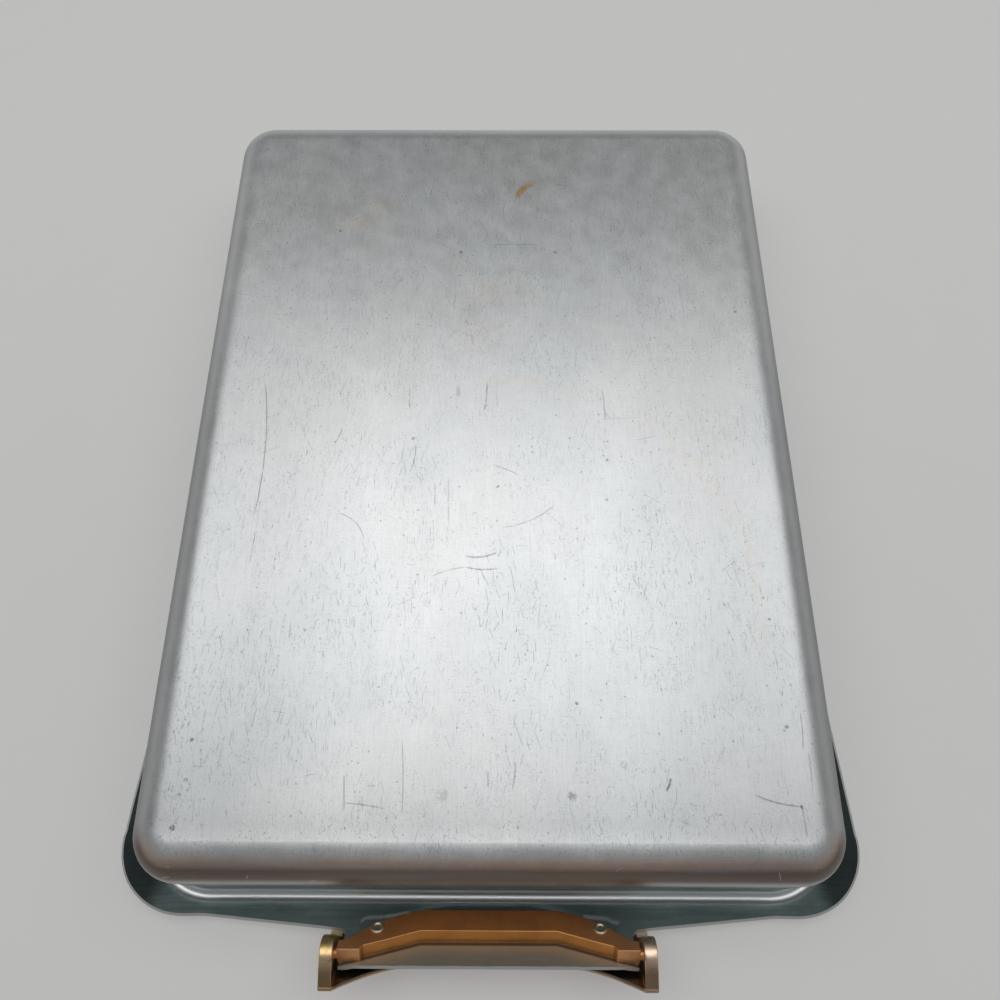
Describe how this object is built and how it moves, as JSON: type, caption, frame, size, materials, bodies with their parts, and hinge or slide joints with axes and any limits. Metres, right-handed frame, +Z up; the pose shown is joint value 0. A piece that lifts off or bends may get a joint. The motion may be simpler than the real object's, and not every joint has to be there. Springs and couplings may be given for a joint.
{
  "type": "ice_cube_tray",
  "caption": "Double-width lever ice cube tray in worn aluminium, stored upside down, with two lever grids inside and a hinged release handle on a copper bracket",
  "frame": {"origin": "on the table, under the middle of the whole tray with its handle, the tray lying upside down as pictured", "axes": "+X across the tray, +Y to the back, away from the handle, +Z up from the table to the upturned bottom of the pan"},
  "size_m": [0.2482, 0.338, 0.044],
  "materials": {
    "drawn_aluminium": "worn satin sheet, with a dark teal anodised apron and a bare cut edge",
    "copper_casting": "satin copper-coloured coating",
    "brass_casting": "mottled gold patina",
    "bright_rivet": "bright, slightly tarnished",
    "grid_aluminium": "satin",
    "lever_aluminium": "brushed",
    "pin_steel": "plain"
  },
  "bodies": {
    "tray": {"pan": "drawn_aluminium", "bracket": "copper_casting", "rivets": "bright_rivet", "divider": "grid_aluminium"},
    "release_handle": {"handle": "brass_casting"},
    "right_grid": {"right_centre_wall": "grid_aluminium", "right_lever_pivot": "pin_steel"},
    "right_lever_arm": {"right_lever": "lever_aluminium", "right_link_pin": "pin_steel"},
    "right_bar": {"right_draw_bar": "lever_aluminium"},
    "right_fin_body_1": {"right_fin_1": "grid_aluminium"},
    "right_fin_body_2": {"right_fin_2": "grid_aluminium"},
    "right_fin_body_3": {"right_fin_3": "grid_aluminium"},
    "right_fin_body_4": {"right_fin_4": "grid_aluminium"},
    "right_fin_body_5": {"right_fin_5": "grid_aluminium"},
    "right_fin_body_6": {"right_fin_6": "grid_aluminium"},
    "left_grid": {"left_centre_wall": "grid_aluminium", "left_lever_pivot": "pin_steel"},
    "left_lever_arm": {"left_lever": "lever_aluminium", "left_link_pin": "pin_steel"},
    "left_bar": {"left_draw_bar": "lever_aluminium"},
    "left_fin_body_1": {"left_fin_1": "grid_aluminium"},
    "left_fin_body_2": {"left_fin_2": "grid_aluminium"},
    "left_fin_body_3": {"left_fin_3": "grid_aluminium"},
    "left_fin_body_4": {"left_fin_4": "grid_aluminium"},
    "left_fin_body_5": {"left_fin_5": "grid_aluminium"},
    "left_fin_body_6": {"left_fin_6": "grid_aluminium"}
  },
  "joints": [
    {"name": "handle_swing", "type": "hinge", "parent": "tray", "child": "release_handle", "pos_m": [0, -0.15932, 0.01996], "axis": [-1, 0, 0], "range_deg": [0, 95]},
    {"name": "right_grid_lift", "type": "slide", "parent": "tray", "child": "right_grid", "axis": [0, 0, -1], "range_m": [0, 0.06]},
    {"name": "right_lever_swing", "type": "hinge", "parent": "right_grid", "child": "right_lever_arm", "pos_m": [0.057, -0.07741, 0.014], "axis": [-1, 0, 0], "range_deg": [0, 75]},
    {"name": "right_bar_slide", "type": "slide", "parent": "right_grid", "child": "right_bar", "axis": [0, -1, 0], "range_m": [0, 0.008]},
    {"name": "right_fin_tilt_1", "type": "hinge", "parent": "right_grid", "child": "right_fin_body_1", "pos_m": [0.057, -0.09429, 0.039], "axis": [-1, 0, 0], "range_deg": [0, 15.03]},
    {"name": "right_fin_tilt_2", "type": "hinge", "parent": "right_grid", "child": "right_fin_body_2", "pos_m": [0.057, -0.05291, 0.039], "axis": [-1, 0, 0], "range_deg": [0, 15.03]},
    {"name": "right_fin_tilt_3", "type": "hinge", "parent": "right_grid", "child": "right_fin_body_3", "pos_m": [0.057, -0.01154, 0.039], "axis": [-1, 0, 0], "range_deg": [0, 15.03]},
    {"name": "right_fin_tilt_4", "type": "hinge", "parent": "right_grid", "child": "right_fin_body_4", "pos_m": [0.057, 0.02983, 0.039], "axis": [-1, 0, 0], "range_deg": [0, 15.03]},
    {"name": "right_fin_tilt_5", "type": "hinge", "parent": "right_grid", "child": "right_fin_body_5", "pos_m": [0.057, 0.0712, 0.039], "axis": [-1, 0, 0], "range_deg": [0, 15.03]},
    {"name": "right_fin_tilt_6", "type": "hinge", "parent": "right_grid", "child": "right_fin_body_6", "pos_m": [0.057, 0.11258, 0.039], "axis": [-1, 0, 0], "range_deg": [0, 15.03]},
    {"name": "left_grid_lift", "type": "slide", "parent": "tray", "child": "left_grid", "axis": [0, 0, -1], "range_m": [0, 0.06]},
    {"name": "left_lever_swing", "type": "hinge", "parent": "left_grid", "child": "left_lever_arm", "pos_m": [-0.057, -0.07741, 0.014], "axis": [-1, 0, 0], "range_deg": [0, 75]},
    {"name": "left_bar_slide", "type": "slide", "parent": "left_grid", "child": "left_bar", "axis": [0, -1, 0], "range_m": [0, 0.008]},
    {"name": "left_fin_tilt_1", "type": "hinge", "parent": "left_grid", "child": "left_fin_body_1", "pos_m": [-0.057, -0.09429, 0.039], "axis": [-1, 0, 0], "range_deg": [0, 15.03]},
    {"name": "left_fin_tilt_2", "type": "hinge", "parent": "left_grid", "child": "left_fin_body_2", "pos_m": [-0.057, -0.05291, 0.039], "axis": [-1, 0, 0], "range_deg": [0, 15.03]},
    {"name": "left_fin_tilt_3", "type": "hinge", "parent": "left_grid", "child": "left_fin_body_3", "pos_m": [-0.057, -0.01154, 0.039], "axis": [-1, 0, 0], "range_deg": [0, 15.03]},
    {"name": "left_fin_tilt_4", "type": "hinge", "parent": "left_grid", "child": "left_fin_body_4", "pos_m": [-0.057, 0.02983, 0.039], "axis": [-1, 0, 0], "range_deg": [0, 15.03]},
    {"name": "left_fin_tilt_5", "type": "hinge", "parent": "left_grid", "child": "left_fin_body_5", "pos_m": [-0.057, 0.0712, 0.039], "axis": [-1, 0, 0], "range_deg": [0, 15.03]},
    {"name": "left_fin_tilt_6", "type": "hinge", "parent": "left_grid", "child": "left_fin_body_6", "pos_m": [-0.057, 0.11258, 0.039], "axis": [-1, 0, 0], "range_deg": [0, 15.03]}
  ],
  "couplings": [
    {"joint": "right_bar_slide", "follows": "right_lever_swing", "m_per_rad": 0.0061115},
    {"joint": "right_fin_tilt_1", "follows": "right_lever_swing", "ratio": 0.20036},
    {"joint": "right_fin_tilt_2", "follows": "right_lever_swing", "ratio": 0.20036},
    {"joint": "right_fin_tilt_3", "follows": "right_lever_swing", "ratio": 0.20036},
    {"joint": "right_fin_tilt_4", "follows": "right_lever_swing", "ratio": 0.20036},
    {"joint": "right_fin_tilt_5", "follows": "right_lever_swing", "ratio": 0.20036},
    {"joint": "right_fin_tilt_6", "follows": "right_lever_swing", "ratio": 0.20036},
    {"joint": "left_bar_slide", "follows": "left_lever_swing", "m_per_rad": 0.0061115},
    {"joint": "left_fin_tilt_1", "follows": "left_lever_swing", "ratio": 0.20036},
    {"joint": "left_fin_tilt_2", "follows": "left_lever_swing", "ratio": 0.20036},
    {"joint": "left_fin_tilt_3", "follows": "left_lever_swing", "ratio": 0.20036},
    {"joint": "left_fin_tilt_4", "follows": "left_lever_swing", "ratio": 0.20036},
    {"joint": "left_fin_tilt_5", "follows": "left_lever_swing", "ratio": 0.20036},
    {"joint": "left_fin_tilt_6", "follows": "left_lever_swing", "ratio": 0.20036}
  ]
}
